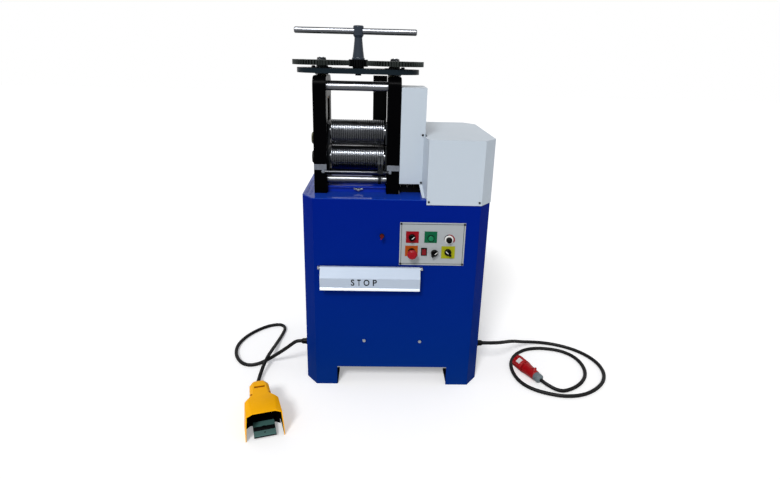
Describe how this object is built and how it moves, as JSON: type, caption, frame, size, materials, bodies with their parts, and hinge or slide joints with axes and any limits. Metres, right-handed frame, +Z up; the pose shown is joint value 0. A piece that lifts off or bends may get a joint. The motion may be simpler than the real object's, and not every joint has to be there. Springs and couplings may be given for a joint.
{
  "type": "motorised jewellers rolling mill",
  "caption": "Floor-standing motorised rolling mill with grooved rolls, geared tee-handle screw-down, cabinet with controls, knee stop bar, foot switch and mains plug.",
  "frame": {"origin": "floor level, at the middle of the floor area of the mill and its foot switch, free cords left out", "axes": "+X to the operator's right, +Y away from the operator, +Z up along the pressure screws"},
  "size_m": [1.8424, 1.0361, 1.555],
  "materials": {
    "blue_paint": "satin powder coat",
    "white_paint": "satin powder coat",
    "black_paint": "gloss paint",
    "roll_steel": "ground and polished",
    "steel": "machined",
    "dark_steel": "blackened, machined",
    "zinc_steel": "zinc plated",
    "galvanised": "galvanised sheet",
    "bronze": "machined bronze",
    "brass": "turned brass",
    "grey_paint": "satin paint",
    "panel_aluminium": "brushed",
    "legend_plastic": "satin, four colours",
    "black_plastic": "satin",
    "red_plastic": "gloss",
    "green_plastic": "gloss",
    "yellow_paint": "gloss paint",
    "grey_plastic": "satin",
    "cord_rubber": "matt"
  },
  "bodies": {
    "mill_frame": {"cabinet_shell": "blue_paint", "deck_plate": "blue_paint", "inner_frame": "blue_paint", "foot_plates": "black_paint", "rear_panel": "blue_paint", "cover_screws": "zinc_steel", "electrical_units": "grey_plastic", "housing_left": "black_paint", "housing_right": "black_paint", "tie_rods": "steel", "frame_bolts": "dark_steel", "lubricators": "brass", "screw_nuts": "bronze", "drip_tray": "blue_paint", "tray_screw": "zinc_steel", "lower_bearings": "bronze", "guide_rest": "steel", "lift_springs": "steel", "rear_post": "black_paint", "gearbox": "grey_paint", "motor": "grey_paint", "outboard_bearing": "black_paint", "gear_cover": "white_paint", "motor_cover": "white_paint", "control_panel": "panel_aluminium", "legend_plates": "legend_plastic", "bezels": "black_plastic", "key_lock": "steel", "knee_bar_pivots": "zinc_steel", "foot_frame": "black_paint", "foot_hood": "yellow_paint", "cable_glands": "black_plastic", "mains_cord": "cord_rubber", "pedal_cord": "cord_rubber", "mains_plug": "red_plastic"},
    "bridge": {"bridge_plate": "black_paint", "thrust_covers": "dark_steel"},
    "handle": {"pinion": "dark_steel", "handle_column": "black_paint", "tee_bar": "steel"},
    "left_pressure_screw": {"left_screw": "steel", "screw_gear_left": "dark_steel"},
    "right_pressure_screw": {"right_screw": "steel", "screw_gear_right": "dark_steel"},
    "upper_carriage": {"upper_bearings": "bronze"},
    "upper_roll_set": {"upper_roll": "roll_steel", "upper_roll_gear": "dark_steel"},
    "lower_roll_set": {"lower_roll": "roll_steel", "lower_roll_gear": "dark_steel"},
    "stop_bar": {"knee_bar": "galvanised"},
    "wire_guide_slider": {"wire_guide": "dark_steel"},
    "red_selector_knob": {"red_selector": "black_plastic"},
    "black_selector_knob": {"black_selector": "black_plastic"},
    "yellow_selector_knob": {"yellow_selector": "black_plastic"},
    "speed_control": {"speed_knob": "black_plastic"},
    "green_push_button": {"green_button": "green_plastic"},
    "emergency_stop": {"estop_button": "red_plastic"},
    "rocker_switch": {"rocker": "red_plastic"},
    "key": {"lock_key": "brass"},
    "pedal": {"foot_pedal": "grey_plastic"}
  },
  "joints": [
    {"name": "bridge_lift", "type": "slide", "parent": "mill_frame", "child": "bridge", "axis": [0, 0, 1], "range_m": [-0.00152, 0.00802]},
    {"name": "handle_turn", "type": "hinge", "parent": "bridge", "child": "handle", "pos_m": [-0.07522, 0.09641, 1.469], "axis": [0, 0, 1], "range_deg": [-435, 2320]},
    {"name": "left_screw_turn", "type": "hinge", "parent": "bridge", "child": "left_pressure_screw", "pos_m": [-0.22722, 0.09641, 1.389], "axis": [0, 0, 1], "range_deg": [-721, 136]},
    {"name": "right_screw_turn", "type": "hinge", "parent": "bridge", "child": "right_pressure_screw", "pos_m": [0.07679, 0.09641, 1.389], "axis": [0, 0, 1], "range_deg": [-721, 136]},
    {"name": "roll_lift", "type": "slide", "parent": "mill_frame", "child": "upper_carriage", "axis": [0, 0, 1], "range_m": [-0.00152, 0.00802], "deforming": ["lift_springs"]},
    {"name": "lower_roll_turn", "type": "hinge", "parent": "mill_frame", "child": "lower_roll_set", "pos_m": [-0.07522, 0.09641, 1.0165], "axis": [1, 0, 0], "continuous": true},
    {"name": "upper_roll_turn", "type": "hinge", "parent": "upper_carriage", "child": "upper_roll_set", "pos_m": [-0.07522, 0.09641, 1.1265], "axis": [1, 0, 0], "continuous": true},
    {"name": "knee_bar_swing", "type": "hinge", "parent": "mill_frame", "child": "stop_bar", "pos_m": [-0.01272, -0.1256, 0.583], "axis": [1, 0, 0], "range_deg": [0, 8], "stiffness_Nm_per_rad": 8, "springref_deg": -6.88},
    {"name": "wire_guide_shift", "type": "slide", "parent": "mill_frame", "child": "wire_guide_slider", "axis": [1, 0, 0], "range_m": [-0.205, 0.012]},
    {"name": "red_selector_turn", "type": "hinge", "parent": "mill_frame", "child": "red_selector_knob", "pos_m": [0.16129, -0.1181, 0.722], "axis": [0, 1, 0], "range_deg": [-90, 0]},
    {"name": "black_selector_turn", "type": "hinge", "parent": "mill_frame", "child": "black_selector_knob", "pos_m": [0.25878, -0.1181, 0.6535], "axis": [0, 1, 0], "range_deg": [-90, 0]},
    {"name": "yellow_selector_turn", "type": "hinge", "parent": "mill_frame", "child": "yellow_selector_knob", "pos_m": [0.31578, -0.1181, 0.658], "axis": [0, 1, 0], "range_deg": [0, 90]},
    {"name": "speed_knob_turn", "type": "hinge", "parent": "mill_frame", "child": "speed_control", "pos_m": [0.31778, -0.1176, 0.714], "axis": [0, 1, 0], "range_deg": [-150, 150]},
    {"name": "green_button_press", "type": "slide", "parent": "mill_frame", "child": "green_push_button", "axis": [0, 1, 0], "range_m": [0, 0.004], "stiffness_N_per_m": 600, "springref_m": -0.004},
    {"name": "emergency_stop_press", "type": "slide", "parent": "mill_frame", "child": "emergency_stop", "axis": [0, 1, 0], "range_m": [0, 0.006]},
    {"name": "rocker_tip", "type": "hinge", "parent": "mill_frame", "child": "rocker_switch", "pos_m": [0.21429, -0.1166, 0.6585], "axis": [1, 0, 0], "range_deg": [-14, 0]},
    {"name": "key_turn", "type": "hinge", "parent": "mill_frame", "child": "key", "pos_m": [0.03479, -0.1136, 0.726], "axis": [0, 1, 0], "range_deg": [-35, 55]},
    {"name": "pedal_press", "type": "hinge", "parent": "mill_frame", "child": "pedal", "pos_m": [-0.45732, -0.34954, 0.034], "axis": [0.9537, 0.3007, 0], "range_deg": [0, 3], "stiffness_Nm_per_rad": 15, "springref_deg": -5.16}
  ],
  "couplings": [
    {"joint": "left_screw_turn", "follows": "handle_turn", "ratio": -0.31034},
    {"joint": "right_screw_turn", "follows": "handle_turn", "ratio": -0.31034},
    {"joint": "bridge_lift", "follows": "handle_turn", "m_per_rad": 0.00019757},
    {"joint": "roll_lift", "follows": "handle_turn", "m_per_rad": 0.00019757},
    {"joint": "upper_roll_turn", "follows": "lower_roll_turn", "ratio": -1}
  ]
}
